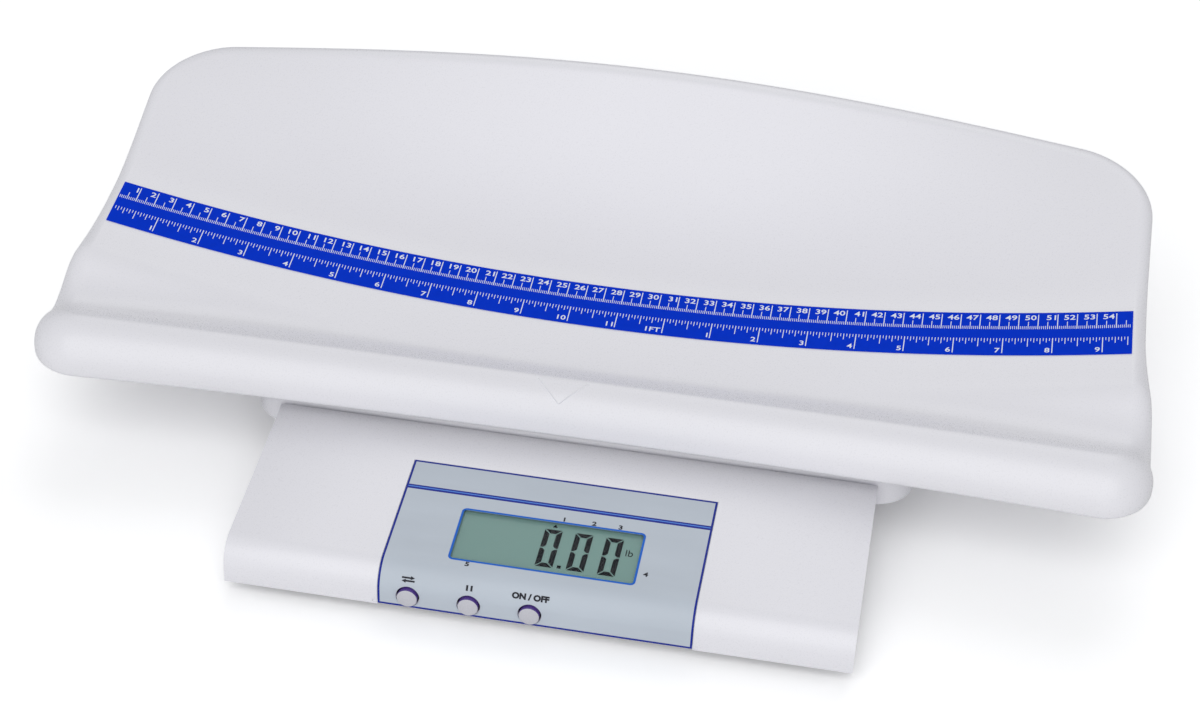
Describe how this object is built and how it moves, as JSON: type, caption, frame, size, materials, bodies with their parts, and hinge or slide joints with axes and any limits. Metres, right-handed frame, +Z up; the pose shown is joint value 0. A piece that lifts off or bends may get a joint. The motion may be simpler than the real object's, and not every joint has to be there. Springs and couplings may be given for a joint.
{
  "type": "digital baby weighing scale",
  "caption": "Low electronic scale with a curved, blue-ruled infant tray on a load-cell platform and a sloped front console with a display and push buttons.",
  "frame": {"origin": "on the table, under the middle of the whole object's box", "axes": "+Z up, +X to the right of a user who faces the display, +Y from the display towards the raised rear wall of the tray"},
  "size_m": [0.5748, 0.3332, 0.1372],
  "materials": {
    "white_shell": "satin",
    "white_cover": "satin",
    "tape_blue": "matte",
    "overlay_silver": "satin",
    "window_clear": "polished",
    "lcd_green": "satin",
    "button_silver": "satin",
    "inner_grey": "matte",
    "board_green": "satin",
    "black_plastic": "matte",
    "steel": "brushed",
    "zinc_screw": "satin",
    "dark_bolt": "satin",
    "cell_aluminium": "satin",
    "gauge_seal": "satin",
    "foot_rubber": "matte",
    "battery_wrap": "gloss",
    "contact_nickel": "satin",
    "lead_grey": "matte",
    "lead_red": "matte"
  },
  "bodies": {
    "base": {"load_cell": "cell_aluminium", "strain_gauges": "gauge_seal", "cell_spacer_bottom": "steel", "cell_bolts_bottom": "dark_bolt", "overload_stops": "zinc_screw", "upper_housing": "white_cover", "base_plate": "inner_grey", "housing_screws": "zinc_screw", "rubber_feet": "foot_rubber", "overlay_panel": "overlay_silver", "display_window": "window_clear", "lcd_panel": "lcd_green", "lcd_holder": "inner_grey", "main_board": "board_green", "board_screws": "zinc_screw", "tact_switches": "black_plastic", "key_board": "board_green", "battery_holder": "inner_grey", "batteries": "battery_wrap", "battery_contacts": "contact_nickel", "cell_cable": "lead_grey", "battery_leads": "lead_red"},
    "platform": {"tray": "white_shell", "measuring_tape": "tape_blue", "tray_mounts": "inner_grey", "tray_screws": "zinc_screw", "platform_cover": "white_cover", "platform_frame": "steel", "cell_spacer_top": "steel", "cell_bolts_top": "dark_bolt"},
    "button_unit": {"button_unit": "button_silver"},
    "button_hold": {"button_hold": "button_silver"},
    "button_power": {"button_power": "button_silver"},
    "battery_door": {"battery_door": "inner_grey"}
  },
  "joints": [
    {"name": "platform_load", "type": "slide", "parent": "base", "child": "platform", "axis": [0, 0, -1], "range_m": [0, 0.0003], "stiffness_N_per_m": 150000, "springref_m": -0.0002},
    {"name": "button_unit_press", "type": "slide", "parent": "base", "child": "button_unit", "axis": [0, 1, 0], "range_m": [0, 0.0006], "stiffness_N_per_m": 1500, "springref_m": -0.0005},
    {"name": "button_hold_press", "type": "slide", "parent": "base", "child": "button_hold", "axis": [0, 1, 0], "range_m": [0, 0.0006], "stiffness_N_per_m": 1500, "springref_m": -0.0005},
    {"name": "button_power_press", "type": "slide", "parent": "base", "child": "button_power", "axis": [0, 1, 0], "range_m": [0, 0.0006], "stiffness_N_per_m": 1500, "springref_m": -0.0005},
    {"name": "battery_door_slide", "type": "slide", "parent": "base", "child": "battery_door", "axis": [0, 1, 0], "range_m": [0, 0.036]}
  ]
}
